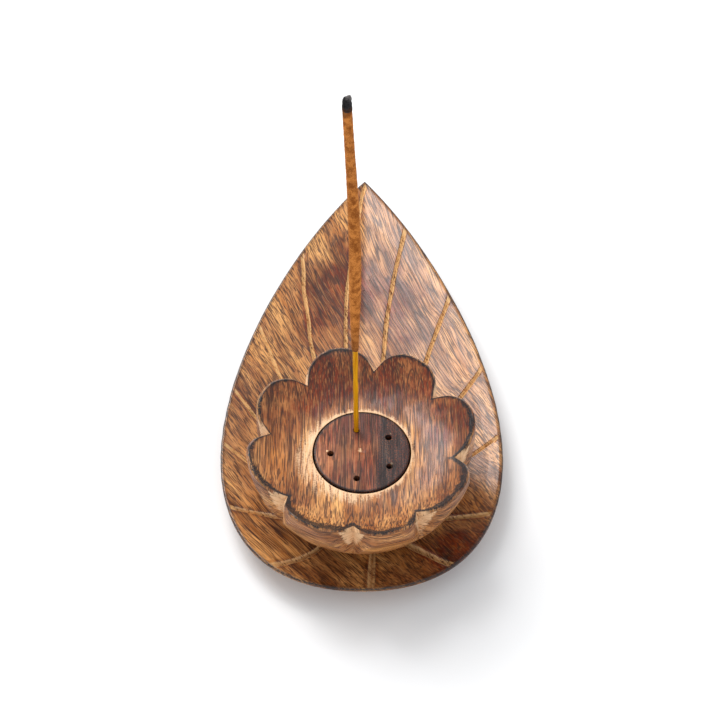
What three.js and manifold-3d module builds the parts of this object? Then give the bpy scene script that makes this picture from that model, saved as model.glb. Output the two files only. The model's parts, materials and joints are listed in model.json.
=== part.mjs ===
// Incense burner: a lotus bowl carved from wood, fixed on a leaf-shaped wooden tray, with a drilled
// disc let into the bowl that holds an incense stick. Millimetres, +Z up, +Y towards the leaf's tip.
// The origin is on the table, at the middle of the leaf's length and width.
import * as THREE from 'three';
import { mergeVertices } from 'three/addons/utils/BufferGeometryUtils.js';
import Module from 'manifold-3d';

// ---- Driving dimensions ----------------------------------------------------------------------
const GAP = 0.3; // between neighbouring pieces
const OVERRUN = 1; // how far a cutter passes beyond the wood it cuts

// leaf tray
const LEAF_LENGTH = 154;
const LEAF_WIDTH = 84.8;
const LEAF_WIDEST = 47.5; // from the front end to the widest section
const LEAF_TIP_HALF_ANGLE = 40.5; // degrees, between the leaf's axis and its edge at the tip
const LEAF_TIP_SHIFT = 1; // how far the hand-cut tip lies to the right of the leaf's axis
const LEAF_FRONT_FULLNESS = 0.75; // arm of the front end's curve, against half the width
const LEAF_SIDE_FULLNESS = { below: 0.51, above: 0.347 }; // arms at the widest section
const LEAF_TIP_FULLNESS = 0.287; // arm at the tip, against the length above the widest section
const RIM_HEIGHT = 10;
const RIM_LAND = 1; // width of the flat on top of the rim
const RIM_SIDE = 1.1; // height of the upright edge below it
const TRAY_FLOOR = 4.7; // thickness of the middle of the tray
const TRAY_DISH_CURVE = 1.8; // power of the rise to the rim
const TRAY_UNDERSIDE_CURVE = 1.3; // power of the rise from the flat underside to the edge
const FLOOR_MARGIN = 2.4; // flat floor left between the bowl's foot and the rise to the front rim
const FOOT_REACH = 0.6; // how far out the flat underside reaches

// lotus bowl
const BOWL_SETBACK = 36; // from the leaf's front end to the bowl's axis
const BOWL_DIAMETER = 68;
const BOWL_HEIGHT = 30;
const BOWL_FOOT_RADIUS = 12;
const NOTCH_DEPTH = 6.7; // from the petal tips in to the bottom of a notch
const NOTCH_SLANT = 0.06; // how much a notch leans out, per mm of height
const PETAL_FULLNESS = 2.4; // 1 is a straight-sided petal, higher is rounder
const DISH_DEPTH = 6.9; // petal tip down to the bowl's floor
const BOWL_DISH_CURVE = 2.47; // power of the rise to the petal tips
const NOTCH_DIRECTIONS = [-190, -141, -95, -55.5, -7.5, 40, 82.5, 126]; // degrees from +X, cut by eye

// disc and its holes
const DISC_DIAMETER = 28.2;
const DISC_THICKNESS = 8;
const DISC_PROUD = 0.5; // how far its top stands above the bowl's floor
const DISC_CHAMFER = 0.4;
const STICK_PLAY = 0.35; // between the bamboo and its hole, all round
const STICK_HOLE = { direction: 102, inset: 6.2 }; // inset from the disc's edge
const OTHER_HOLES = [
  { direction: 32.5, inset: 4.8 },
  { direction: -33, inset: 4.5 },
  { direction: -99, inset: 4.5 },
  { direction: 184.5, inset: 4.9 },
];

// incense stick
const CORE_DIAMETER = 1.5;
const STICK_LENGTH = 157;
const BARE_LENGTH = 48; // bamboo below the paste
const PASTE_DIAMETER = 3.4;
const PASTE_END_DIAMETER = 2.7;
const PASTE_TAPER = 7; // length over which the paste's lower end swells
const CORE_CLEARANCE = 0.25; // between the bamboo and the paste
const CHAR_LENGTH = 4;
const CHAR_CHAMFER = 0.6;
const ASH_HEIGHT = 1;
const STICK_LEAN = 0.85; // degrees, towards -X

// screw from below
const SCREW_SHANK = 3.5;
const SCREW_HEAD = 7;
const SCREW_HEAD_HEIGHT = 2.2;
const SCREW_HEAD_EDGE = 0.3; // upright edge of the head, below its cone
const SCREW_POINT = 4; // length of the pointed end
const WOOD_OVER_SCREW = 4.7; // between the screw's tip and the recess for the disc
const SCREW_SUNK = 0.6; // head below the tray's underside
const SLOT_WIDTH = 1.1;
const SLOT_DEPTH = 0.9;

// veins: where each leaves the bowl's foot and where it meets the rim (degrees from +X about the
// bowl's axis), how far it bows to its left, and its width
const VEIN_START_MARGIN = 4; // from the bowl's foot out to where a vein starts
const VEIN_DEPTH_RATIO = 0.5; // depth of the V against its width
const VEIN_END_INSET = 1.3; // from the rim in to where a vein ends
const VEIN_FADE = 1 / 6; // share of a vein's length over which it runs out
const VEIN_END_DEPTH = 0.36; // share of the depth left at its end
const VEINS = [
  { from: 98, to: 89.5, bow: 4.4, width: 1.4 },
  { from: 64, to: 82, bow: 3.3, width: 1.5 },
  { from: 45, to: 69, bow: 1.4, width: 1.5 },
  { from: 38, to: 50, bow: 0, width: 1.6 },
  { from: 12, to: 24, bow: 0, width: 1.6 },
  { from: -29, to: -13.5, bow: 0, width: 2 },
  { from: -56, to: -46, bow: 0, width: 2.4 },
  { from: -78, to: -86, bow: 0, width: 2.4 },
  { from: -123, to: -134, bow: 2, width: 2.2 },
  { from: -147, to: -170, bow: 0, width: 1.8 },
  { from: -174, to: 159, bow: 0, width: 1.5 },
  { from: 160, to: 137.5, bow: 0, width: 1.4 },
  { from: 140, to: 118, bow: 0, width: 1.4 },
  { from: 113, to: 102, bow: 2.4, width: 1.5 },
];

// fineness of the facets
const OUTLINE_STEPS = 80; // points round the leaf
const PETAL_STEPS = 10; // points round one petal
const ROUND_STEPS = 48; // points round the disc
const SMALL_STEPS = 16; // points round a stick, a hole or a screw
const VEIN_STEPS = 12;

// ---- Sizes that follow from them -------------------------------------------------------------
const BOWL_RADIUS = BOWL_DIAMETER / 2;
const BOWL_Y = BOWL_SETBACK - LEAF_LENGTH / 2;
const BOWL_FOOT = TRAY_FLOOR + GAP;
const BOWL_BELLY = BOWL_HEIGHT / Math.sqrt(1 - (BOWL_FOOT_RADIUS / BOWL_RADIUS) ** 2);
const NOTCH_RADIUS = BOWL_RADIUS - NOTCH_DEPTH;
const DISH_FLAT = (BOWL_FOOT_RADIUS + FLOOR_MARGIN) / BOWL_SETBACK; // reach of the flat floor
const VEIN_START = BOWL_FOOT_RADIUS + VEIN_START_MARGIN;
const BOWL_FLOOR = BOWL_HEIGHT - DISH_DEPTH;
const DISC_RADIUS = DISC_DIAMETER / 2;
const RECESS_RADIUS = DISC_RADIUS + GAP;
const RECESS_FLOOR = BOWL_FLOOR + DISC_PROUD - DISC_THICKNESS - GAP;
const DISC_BOTTOM = BOWL_FOOT + RECESS_FLOOR + GAP;
const HOLE_RADIUS = CORE_DIAMETER / 2 + STICK_PLAY;
const SCREW_TIP = BOWL_FOOT + RECESS_FLOOR - WOOD_OVER_SCREW;
const SCREW_LENGTH = SCREW_TIP - SCREW_SUNK;
const PASTE_BORE = CORE_DIAMETER / 2 + CORE_CLEARANCE;

const wasm = await Module();
wasm.setup();

// ---- Solids ----------------------------------------------------------------------------------
/** The same surface with shared corners and without the empty triangles at an axis. */
function weld(geometry) {
  const bare = geometry.clone();
  bare.deleteAttribute('normal');
  bare.deleteAttribute('uv');
  const welded = mergeVertices(bare, 1e-4);
  const corners = welded.index.array;
  const kept = [];
  for (let i = 0; i < corners.length; i += 3) {
    const [a, b, c] = corners.slice(i, i + 3);
    if (a !== b && b !== c && c !== a) kept.push(a, b, c);
  }
  welded.setIndex(kept);
  return welded;
}

function toSolid(geometry) {
  const welded = weld(geometry);
  return new wasm.Manifold(new wasm.Mesh({
    numProp: 3,
    vertProperties: new Float32Array(welded.attributes.position.array),
    triVerts: new Uint32Array(welded.index.array),
  }));
}

function toGeometry(solid) {
  const cut = solid.getMesh();
  const geometry = new THREE.BufferGeometry();
  geometry.setAttribute('position', new THREE.Float32BufferAttribute(cut.vertProperties, 3));
  geometry.setIndex(Array.from(cut.triVerts));
  return geometry;
}

function subtractAll(geometry, cutters) {
  const together = cutters.map(toSolid).reduce((sum, cutter) => sum.add(cutter));
  return toGeometry(toSolid(geometry).subtract(together));
}

/** Solid of revolution about +Z from [radius, height] pairs, listed from the bottom up. */
function turned(profile, steps) {
  const points = profile.map(([radius, height]) => new THREE.Vector2(radius, height));
  return new THREE.LatheGeometry(points, steps).rotateX(Math.PI / 2);
}

/** Upright round drill from one height to another. */
function drill(x, y, radius, bottom, top) {
  const outline = [[0, bottom], [radius, bottom], [radius, top], [0, top]];
  return turned(outline, SMALL_STEPS).translate(x, y, 0);
}

function named(name, geometry, colour, roughness, metalness = 0) {
  const material = new THREE.MeshStandardMaterial({ color: colour, roughness, metalness });
  const mesh = new THREE.Mesh(weld(geometry), material);
  mesh.name = name;
  return mesh;
}

// ---- Leaf outline ----------------------------------------------------------------------------
/** Edge of the leaf from its front end to its tip: the right-hand one, or the left-hand one. */
function leafSide(half) {
  const front = -LEAF_LENGTH / 2;
  const widest = front + LEAF_WIDEST;
  const tip = front + LEAF_LENGTH;
  const lean = THREE.MathUtils.degToRad(LEAF_TIP_HALF_ANGLE);
  const tipArm = (tip - widest) * LEAF_TIP_FULLNESS;
  const tipLean = Math.sign(half) * Math.sin(lean);
  const side = new THREE.Path();
  side.moveTo(0, front);
  side.bezierCurveTo(
    half * LEAF_FRONT_FULLNESS, front,
    half, widest - LEAF_WIDEST * LEAF_SIDE_FULLNESS.below,
    half, widest,
  );
  side.bezierCurveTo(
    half, widest + (tip - widest) * LEAF_SIDE_FULLNESS.above,
    tipArm * tipLean, tip - tipArm * Math.cos(lean),
    LEAF_TIP_SHIFT, tip,
  );
  return side.getSpacedPoints(OUTLINE_STEPS / 2);
}

/** Points round the leaf, anticlockwise from its front end. */
function leafOutline() {
  const right = leafSide(LEAF_WIDTH / 2);
  const left = leafSide(-LEAF_WIDTH / 2).slice(1, -1).reverse();
  return [...right, ...left];
}

const outline = leafOutline();
const bowlAxis = new THREE.Vector2(0, BOWL_Y);

/** Outline point moved in by a distance, mitred so that the edge keeps an even width. */
function insetPoint(index, distance) {
  const count = outline.length;
  const here = outline[index];
  const before = here.clone().sub(outline[(index + count - 1) % count]).normalize();
  const after = outline[(index + 1) % count].clone().sub(here).normalize();
  const inward = new THREE.Vector2(-before.y - after.y, before.x + after.x);
  return here.clone().addScaledVector(inward, distance / (1 + before.dot(after)));
}

/** Where the ray from the bowl's axis in a direction (radians from +X) meets the outline. */
function edgeToward(direction) {
  const ray = new THREE.Vector2(Math.cos(direction), Math.sin(direction));
  for (let i = 0; i < outline.length; i++) {
    const a = outline[i].clone().sub(bowlAxis);
    const b = outline[(i + 1) % outline.length].clone().sub(bowlAxis);
    const crossA = ray.cross(a);
    const crossB = ray.cross(b);
    const ahead = ray.dot(a) > 0 || ray.dot(b) > 0;
    if (ahead && crossA <= 0 && crossB > 0) {
      return bowlAxis.clone().add(a.lerp(b, crossA / (crossA - crossB)));
    }
  }
  throw new Error('the outline does not surround the bowl');
}

// ---- Leaf tray -------------------------------------------------------------------------------
/** Height of the dished top at a reach of 0 (bowl's axis) to 1 (edge). */
function dishHeight(reach) {
  const climb = Math.max(0, reach - DISH_FLAT) / (1 - DISH_FLAT);
  return TRAY_FLOOR + (RIM_HEIGHT - TRAY_FLOOR) * climb ** TRAY_DISH_CURVE;
}

/** Height of the dished top above a point of the plan. */
function dishHeightAt(point) {
  const arm = point.clone().sub(bowlAxis);
  const edge = edgeToward(arm.angle()).sub(bowlAxis);
  return dishHeight(Math.min(1, arm.length() / edge.length()));
}

/** Rings of the tray from the middle of its underside, round the rim, to the middle of its floor. */
function trayRings() {
  const rings = [{ reach: 0, z: 0 }, { reach: FOOT_REACH, z: 0 }];
  const sideFoot = RIM_HEIGHT - RIM_SIDE;
  for (const share of [0.2, 0.4, 0.6, 0.8, 1]) {
    const reach = FOOT_REACH + (1 - FOOT_REACH) * share;
    rings.push({ reach, z: sideFoot * share ** TRAY_UNDERSIDE_CURVE });
  }
  rings.push({ inset: 0, z: RIM_HEIGHT }, { inset: RIM_LAND, z: RIM_HEIGHT });
  for (const reach of [0.92, 0.84, 0.74, 0.63, 0.52, DISH_FLAT]) {
    rings.push({ reach, z: dishHeight(reach) });
  }
  rings.push({ reach: 0, z: TRAY_FLOOR });
  return rings;
}

/** Turned blank whose rings are drawn out to the leaf's outline. */
function trayBlank() {
  const rings = trayRings();
  const blank = turned(rings.map((ring) => [ring.reach ?? 1, ring.z]), OUTLINE_STEPS);
  const place = blank.attributes.position;
  for (let i = 0; i < place.count; i++) {
    const ring = rings[i % rings.length];
    const step = Math.floor(i / rings.length) % OUTLINE_STEPS;
    const spot = ring.inset === undefined
      ? bowlAxis.clone().lerp(outline[step], ring.reach)
      : insetPoint(step, ring.inset);
    place.setXYZ(i, spot.x, spot.y, ring.z);
  }
  return blank;
}

/** V-shaped cutter along one vein, running out to nothing at the rim. */
function veinCutter({ from, to, bow, width }) {
  const start = bowlAxis.clone().add(
    new THREE.Vector2(VEIN_START, 0).rotateAround(new THREE.Vector2(), THREE.MathUtils.degToRad(from)),
  );
  const end = edgeToward(THREE.MathUtils.degToRad(to));
  end.lerp(start, VEIN_END_INSET / end.distanceTo(start));
  const left = new THREE.Vector2(start.y - end.y, end.x - start.x).normalize();
  const middle = start.clone().lerp(end, 0.5).addScaledVector(left, 2 * bow);
  const line = new THREE.QuadraticBezierCurve(start, middle, end);

  const wedge = new THREE.CylinderGeometry(1, 1, 1, 3, VEIN_STEPS);
  const place = wedge.attributes.position;
  for (let i = 0; i < place.count; i++) {
    const along = place.getY(i) + 0.5;
    const spot = line.getPoint(along);
    const across = line.getTangent(along).rotateAround(new THREE.Vector2(), -Math.PI / 2);
    const surface = dishHeightAt(spot);
    const fade = Math.min(1, VEIN_END_DEPTH + (1 - along) / VEIN_FADE);
    const depth = width * VEIN_DEPTH_RATIO * fade;
    const inside = Math.hypot(place.getX(i), place.getZ(i)) < 0.5;
    const corner = Math.round(Math.atan2(place.getX(i), place.getZ(i)) / (2 * Math.PI / 3));
    const half = (width / 2) * (depth + OVERRUN) / depth;
    const shift = inside ? 0 : -corner * half;
    let height = corner === 0 ? surface - depth : surface + OVERRUN;
    if (inside) height = surface;
    spot.addScaledVector(across, shift);
    place.setXYZ(i, spot.x, spot.y, height);
  }
  return wedge;
}

function leafTray() {
  const shankHole = SCREW_SHANK / 2 + GAP;
  const headHole = SCREW_HEAD / 2 + GAP;
  const above = TRAY_FLOOR + OVERRUN;
  const countersink = turned([
    [0, -OVERRUN], [headHole, -OVERRUN], [headHole, SCREW_SUNK + SCREW_HEAD_EDGE],
    [shankHole, SCREW_SUNK + SCREW_HEAD_HEIGHT + GAP], [shankHole, above], [0, above],
  ], SMALL_STEPS).translate(0, BOWL_Y, 0);
  const carved = subtractAll(trayBlank(), [countersink, ...VEINS.map(veinCutter)]);
  return named('leaf_tray', carved, 0x9c6536, 0.55);
}

// ---- Lotus bowl (heights measured from its foot) ----------------------------------------------
/** Outside radius at a height: an ellipse about the middle of the mouth. */
function bowlWall(height) {
  return BOWL_RADIUS * Math.sqrt(1 - ((BOWL_HEIGHT - height) / BOWL_BELLY) ** 2);
}

/** Height of the hollow's surface at a radius. */
function bowlDish(radius) {
  const climb = Math.max(0, radius - RECESS_RADIUS) / (BOWL_RADIUS - RECESS_RADIUS);
  return BOWL_FLOOR + DISH_DEPTH * climb ** BOWL_DISH_CURVE;
}

/** Radius of the petal's edge; across runs from -1 to 1 between its two notches. */
function petalEdge(across) {
  return NOTCH_RADIUS + (BOWL_RADIUS - NOTCH_RADIUS) * (1 - Math.abs(across) ** PETAL_FULLNESS);
}

/** Section of the bowl at one place across a petal, as [radius, height] from the foot up. */
function bowlSection(across) {
  const edge = petalEdge(across);
  const top = bowlDish(edge);
  const section = [[0, 0]];
  for (const share of [0, 0.07, 0.17, 0.3, 0.44, 0.58, 0.72, 0.86, 1]) {
    const height = top * share;
    section.push([Math.min(bowlWall(height), edge + NOTCH_SLANT * (top - height)), height]);
  }
  for (const share of [0.8, 0.55, 0.27, 0]) {
    const radius = RECESS_RADIUS + (edge - RECESS_RADIUS) * share;
    section.push([radius, bowlDish(radius)]);
  }
  section.push([RECESS_RADIUS, RECESS_FLOOR], [0, RECESS_FLOOR]);
  return section;
}

/** Turned blank with a petal between each pair of notches. */
function bowlBlank() {
  const petals = NOTCH_DIRECTIONS.length;
  const steps = petals * PETAL_STEPS;
  const rings = bowlSection(0).length;
  const blank = turned(bowlSection(0), steps);
  const place = blank.attributes.position;
  for (let i = 0; i < place.count; i++) {
    const step = Math.floor(i / rings) % steps;
    const petal = Math.floor(step / PETAL_STEPS);
    const share = (step % PETAL_STEPS) / PETAL_STEPS;
    const here = NOTCH_DIRECTIONS[petal];
    const next = petal + 1 < petals ? NOTCH_DIRECTIONS[petal + 1] : NOTCH_DIRECTIONS[0] + 360;
    const angle = THREE.MathUtils.degToRad(here + (next - here) * share);
    const [radius, height] = bowlSection(2 * share - 1)[i % rings];
    place.setXYZ(i, radius * Math.cos(angle), radius * Math.sin(angle), height);
  }
  return blank;
}

function lotusBowl() {
  const pilot = drill(0, 0, SCREW_SHANK / 2 + GAP, -OVERRUN, SCREW_TIP - BOWL_FOOT + GAP);
  const bowl = named('lotus_bowl', subtractAll(bowlBlank(), [pilot]), 0x8a4f28, 0.5);
  bowl.position.set(0, BOWL_Y, BOWL_FOOT);
  return bowl;
}

// ---- Stick-holder disc -----------------------------------------------------------------------
/** Plan place of a hole, measured from the bowl's axis. */
function holeSpot({ direction, inset }) {
  const angle = THREE.MathUtils.degToRad(direction);
  return new THREE.Vector2(Math.cos(angle), Math.sin(angle)).multiplyScalar(DISC_RADIUS - inset);
}

function stickDisc() {
  const blank = turned([
    [0, 0], [DISC_RADIUS, 0], [DISC_RADIUS, DISC_THICKNESS - DISC_CHAMFER],
    [DISC_RADIUS - DISC_CHAMFER, DISC_THICKNESS], [0, DISC_THICKNESS],
  ], ROUND_STEPS);
  const holes = [STICK_HOLE, ...OTHER_HOLES].map((hole) => {
    const spot = holeSpot(hole);
    return drill(spot.x, spot.y, HOLE_RADIUS, -OVERRUN, DISC_THICKNESS + OVERRUN);
  });
  const disc = named('stick_disc', subtractAll(blank, holes), 0x5a2c18, 0.55);
  disc.position.set(0, BOWL_Y, DISC_BOTTOM);
  return disc;
}

// ---- Screw -----------------------------------------------------------------------------------
function baseScrew() {
  const shank = SCREW_SHANK / 2;
  const blank = turned([
    [0, 0], [SCREW_HEAD / 2, 0], [SCREW_HEAD / 2, SCREW_HEAD_EDGE], [shank, SCREW_HEAD_HEIGHT],
    [shank, SCREW_LENGTH - SCREW_POINT], [0, SCREW_LENGTH],
  ], SMALL_STEPS);
  const slot = new THREE.BoxGeometry(SCREW_HEAD + OVERRUN, SLOT_WIDTH, 2 * SLOT_DEPTH);
  const screw = named('base_screw', subtractAll(blank, [slot]), 0x8d8d90, 0.35, 1);
  screw.position.set(0, BOWL_Y, SCREW_SUNK);
  return screw;
}

// ---- Incense stick (heights measured from its lower end) ---------------------------------------
function bambooCore() {
  const radius = CORE_DIAMETER / 2;
  const top = STICK_LENGTH - ASH_HEIGHT - CHAR_LENGTH / 2;
  const profile = [[0, 0], [radius, 0], [radius, top], [0, top]];
  return named('bamboo_core', turned(profile, SMALL_STEPS), 0xd8ab2e, 0.45);
}

function incensePaste() {
  const full = PASTE_DIAMETER / 2;
  const end = PASTE_END_DIAMETER / 2;
  const top = STICK_LENGTH - ASH_HEIGHT - CHAR_LENGTH - 2 * GAP;
  const swell = BARE_LENGTH + PASTE_TAPER;
  const profile = [
    [PASTE_BORE, BARE_LENGTH], [end, BARE_LENGTH], [full, swell], [full, (swell + top) / 2],
    [end, top], [PASTE_BORE, top], [PASTE_BORE, BARE_LENGTH],
  ];
  return named('incense_paste', turned(profile, SMALL_STEPS), 0xb0703c, 0.95);
}

function charredTip() {
  const outside = PASTE_END_DIAMETER / 2;
  const top = STICK_LENGTH - ASH_HEIGHT - GAP;
  const bottom = top - CHAR_LENGTH;
  const socket = STICK_LENGTH - ASH_HEIGHT - CHAR_LENGTH / 2 + CORE_CLEARANCE;
  const profile = [
    [0, socket], [PASTE_BORE, socket], [PASTE_BORE, bottom], [outside, bottom],
    [outside, top - CHAR_CHAMFER], [outside - CHAR_CHAMFER, top], [0, top],
  ];
  return named('charred_tip', turned(profile, SMALL_STEPS), 0x1c1a1a, 0.95);
}

function ashFlake() {
  const radius = PASTE_END_DIAMETER / 2 - CHAR_CHAMFER;
  const bottom = STICK_LENGTH - ASH_HEIGHT;
  const shoulder = [radius * 0.7, bottom + 0.6 * ASH_HEIGHT];
  const profile = [[0, bottom], [radius, bottom], shoulder, [0, STICK_LENGTH]];
  return named('ash_flake', turned(profile, SMALL_STEPS), 0x9a9896, 1);
}

function incenseStick() {
  const stick = new THREE.Group();
  const hole = holeSpot(STICK_HOLE);
  stick.position.set(hole.x, hole.y + BOWL_Y, DISC_BOTTOM);
  stick.rotation.y = -THREE.MathUtils.degToRad(STICK_LEAN);
  stick.add(bambooCore(), incensePaste(), charredTip(), ashFlake());
  return stick;
}

const burner = new THREE.Group();
burner.add(leafTray(), baseScrew(), lotusBowl(), stickDisc(), incenseStick());

export default burner;
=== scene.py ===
"""Looks of a carved wooden incense burner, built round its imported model.

A leaf-shaped tray with carved veins carries a lotus bowl with eight petals. A drilled disc in the
bowl holds an incense stick. Lengths inside the classes are in millimetres, measured from the bowl's
axis in plan and from the table in height, and turned to metres when a mesh is made.
"""

import json
import logging
import math
from dataclasses import dataclass
from enum import Enum

import bmesh
import bpy
import numpy as np
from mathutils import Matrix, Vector


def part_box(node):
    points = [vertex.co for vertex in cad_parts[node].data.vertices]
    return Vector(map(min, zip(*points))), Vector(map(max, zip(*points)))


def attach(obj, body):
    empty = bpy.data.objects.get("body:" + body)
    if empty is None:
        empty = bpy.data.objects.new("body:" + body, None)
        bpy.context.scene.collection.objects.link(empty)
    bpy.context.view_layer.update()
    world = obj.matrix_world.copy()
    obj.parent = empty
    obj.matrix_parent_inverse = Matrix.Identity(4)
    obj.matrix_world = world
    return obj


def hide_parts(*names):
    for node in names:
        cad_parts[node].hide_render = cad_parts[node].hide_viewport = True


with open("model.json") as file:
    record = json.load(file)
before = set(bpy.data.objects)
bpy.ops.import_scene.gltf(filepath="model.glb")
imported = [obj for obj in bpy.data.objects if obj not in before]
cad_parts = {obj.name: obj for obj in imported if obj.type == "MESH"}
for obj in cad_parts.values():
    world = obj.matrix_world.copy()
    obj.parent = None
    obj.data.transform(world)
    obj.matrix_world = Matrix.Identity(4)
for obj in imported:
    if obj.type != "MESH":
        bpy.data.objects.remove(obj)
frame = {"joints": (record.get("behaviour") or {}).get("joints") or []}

MM = 0.001
TURN = 2 * math.pi
WELD_DISTANCE = 1e-7  # metres, between points that are the same point
SHARP_ANGLE = 38.0  # degrees, above which an edge stays crisp
Array = np.ndarray
Input = float | str | tuple | bpy.types.NodeSocket
log = logging.getLogger("incense_burner")


class Body(Enum):
    """The two bodies that pieces ride on."""

    BURNER = "burner"
    STICK = "incense_stick"


class Slot(Enum):
    """The record's material slots."""

    TRAY = "tray_wood"
    BOWL = "bowl_wood"
    DISC = "disc_wood"
    SCREW = "screw_steel"
    BAMBOO = "bamboo"
    PASTE = "incense"
    CHAR = "char"
    ASH = "ash"


# ---- Small tools -----------------------------------------------------------------------------
def linear(colour: str) -> tuple[float, float, float, float]:
    """Turn an sRGB hex colour into linear RGBA.

    Args:
        colour: six hex digits after a hash.

    Returns:
        Linear red, green and blue, and an alpha of 1.
    """
    shares = [int(colour[i : i + 2], 16) / 255 for i in (1, 3, 5)]
    bent = [s / 12.92 if s <= 0.04045 else ((s + 0.055) / 1.055) ** 2.4 for s in shares]
    return (bent[0], bent[1], bent[2], 1.0)


def node(
    tree: bpy.types.NodeTree, kind: str, inputs: dict[int | str, Input] | None = None, **settings: object
) -> bpy.types.Node:
    """Add a node with its settings, values and links.

    Args:
        tree: the material's node tree.
        kind: the node's type name without "ShaderNode".
        inputs: what goes into each input, by name or number: a value, a hex colour or a socket.
        settings: properties of the node; stops is a colour ramp's list of (place, colour).

    Returns:
        The new node.
    """
    made = tree.nodes.new("ShaderNode" + kind)
    stops = settings.pop("stops", None)
    for name, value in settings.items():
        setattr(made, name, value)
    if stops:
        ramp = made.color_ramp.elements
        while len(ramp) < len(stops):
            ramp.new(0.5)
        for element, (place, colour) in zip(ramp, stops):
            element.position = place
            element.color = linear(colour)
    for name, value in (inputs or {}).items():
        socket = made.inputs[name]
        if isinstance(value, bpy.types.NodeSocket):
            tree.links.new(value, socket)
        elif isinstance(value, str):
            socket.default_value = linear(value)
        else:
            socket.default_value = value
    return made


@dataclass(frozen=True)
class Ripple:
    """Smooth random surface waves, the same each time."""

    wavelength: float
    seed: int
    waves: int = 14

    def at(self, x: Array, y: Array, z: Array | float = 0.0) -> Array:
        """Height of the waves, mostly between -1 and 1.

        Args:
            x: first coordinate.
            y: second coordinate.
            z: third coordinate.

        Returns:
            One value for each point.
        """
        random = np.random.default_rng(self.seed)
        total = np.zeros(np.broadcast(x, y, z).shape)
        for _ in range(self.waves):
            way = random.normal(size=3)
            way /= np.linalg.norm(way)
            number = TURN / (self.wavelength * random.uniform(0.7, 1.5))
            phase = random.uniform(0, TURN)
            total += np.sin(number * (way[0] * x + way[1] * y + way[2] * z) + phase)
        return total / math.sqrt(self.waves)


def blank_material(name: str) -> tuple[bpy.types.Material, bpy.types.NodeTree]:
    """Make an empty node material.

    Args:
        name: its name.

    Returns:
        The material and its node tree.
    """
    material = bpy.data.materials.new(name)
    material.use_nodes = True
    material.node_tree.nodes.clear()
    return material, material.node_tree


def finish_material(tree: bpy.types.NodeTree, shader: dict[str, Input]) -> None:
    """Close a material with a Principled shader that has these inputs."""
    surface = node(tree, "BsdfPrincipled", shader).outputs[0]
    node(tree, "OutputMaterial", {"Surface": surface})


def smooth_step(low: float, high: float, value: Array) -> Array:
    """Ease from 0 at low to 1 at high."""
    share = np.clip((value - low) / (high - low), 0, 1)
    return share * share * (3 - 2 * share)


def ring_faces(rings: int, columns: int, wrap: bool) -> list[tuple[int, ...]]:
    """List the quads between neighbouring rings of a closed round grid.

    Args:
        rings: number of rings.
        columns: points in each ring.
        wrap: whether the last ring joins the first.

    Returns:
        Corner numbers of each quad.
    """
    ring = np.arange(rings if wrap else rings - 1)[:, None]
    column = np.arange(columns)[None, :]
    after = (column + 1) % columns
    above = (ring + 1) % rings
    here, there = ring * columns, above * columns
    corners = np.stack([here + column, here + after, there + after, there + column], -1)
    return corners.reshape(-1, 4).tolist()


@dataclass
class Skin:
    """A closed surface made of rings of points, with values for its material."""

    name: str
    rings: Array
    values: dict[str, Array]
    wrap: bool = False

    def mesh(self) -> bpy.types.Mesh:
        """Make the mesh: rings shrunk to a point become poles.

        Returns:
            The new mesh, smooth, in metres.
        """
        count, columns, _ = self.rings.shape
        points = self.rings.reshape(-1, 3) * MM
        faces = ring_faces(count, columns, self.wrap)
        mesh = bpy.data.meshes.new(self.name)
        mesh.from_pydata(points.tolist(), [], faces)
        write_values(mesh, self.values)
        return mesh

    def build(
        self, material: bpy.types.Material, body: Body, stands_for: str, slot: Slot
    ) -> bpy.types.Object:
        """Make the piece and hang it in the frame.

        Args:
            material: its finish.
            body: the body it rides on.
            stands_for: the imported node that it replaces.
            slot: the record's material slot.

        Returns:
            The new object.
        """
        piece = bpy.data.objects.new(self.name, self.mesh())
        bpy.context.scene.collection.objects.link(piece)
        return settle(piece, material, body, stands_for, slot)


def weld(mesh: bpy.types.Mesh) -> None:
    """Join points that coincide and face every side outwards.

    Args:
        mesh: the mesh to mend.
    """
    work = bmesh.new()
    work.from_mesh(mesh)
    bmesh.ops.remove_doubles(work, verts=work.verts, dist=WELD_DISTANCE)
    bmesh.ops.recalc_face_normals(work, faces=work.faces)
    work.to_mesh(mesh)
    work.free()


def write_values(mesh: bpy.types.Mesh, values: dict[str, Array]) -> None:
    """Store each array as a mesh attribute: a number, or three of them, for every point.

    Args:
        mesh: the mesh.
        values: the arrays by attribute name.
    """
    for name, value in values.items():
        flat = np.asarray(value, np.float32).reshape(len(mesh.vertices), -1)
        is_vector = flat.shape[1] == 3
        layer = mesh.attributes.new(name, "FLOAT_VECTOR" if is_vector else "FLOAT", "POINT")
        layer.data.foreach_set("vector" if is_vector else "value", flat.ravel())


def cut_away(piece: bpy.types.Object, tool: Skin) -> None:
    """Cut one closed shape out of another.

    Args:
        piece: the object to cut, already welded.
        tool: the shape to take away.
    """
    bit = bpy.data.objects.new(tool.name, tool.mesh())
    bpy.context.scene.collection.objects.link(bit)
    weld(bit.data)
    cut = piece.modifiers.new("cut", "BOOLEAN")
    cut.object = bit
    cut.operation = "DIFFERENCE"
    cut.solver = "EXACT"
    bpy.context.view_layer.update()
    result = bpy.data.meshes.new_from_object(piece.evaluated_get(bpy.context.evaluated_depsgraph_get()))
    piece.modifiers.clear()
    piece.data = result
    bpy.data.objects.remove(bit)


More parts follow.
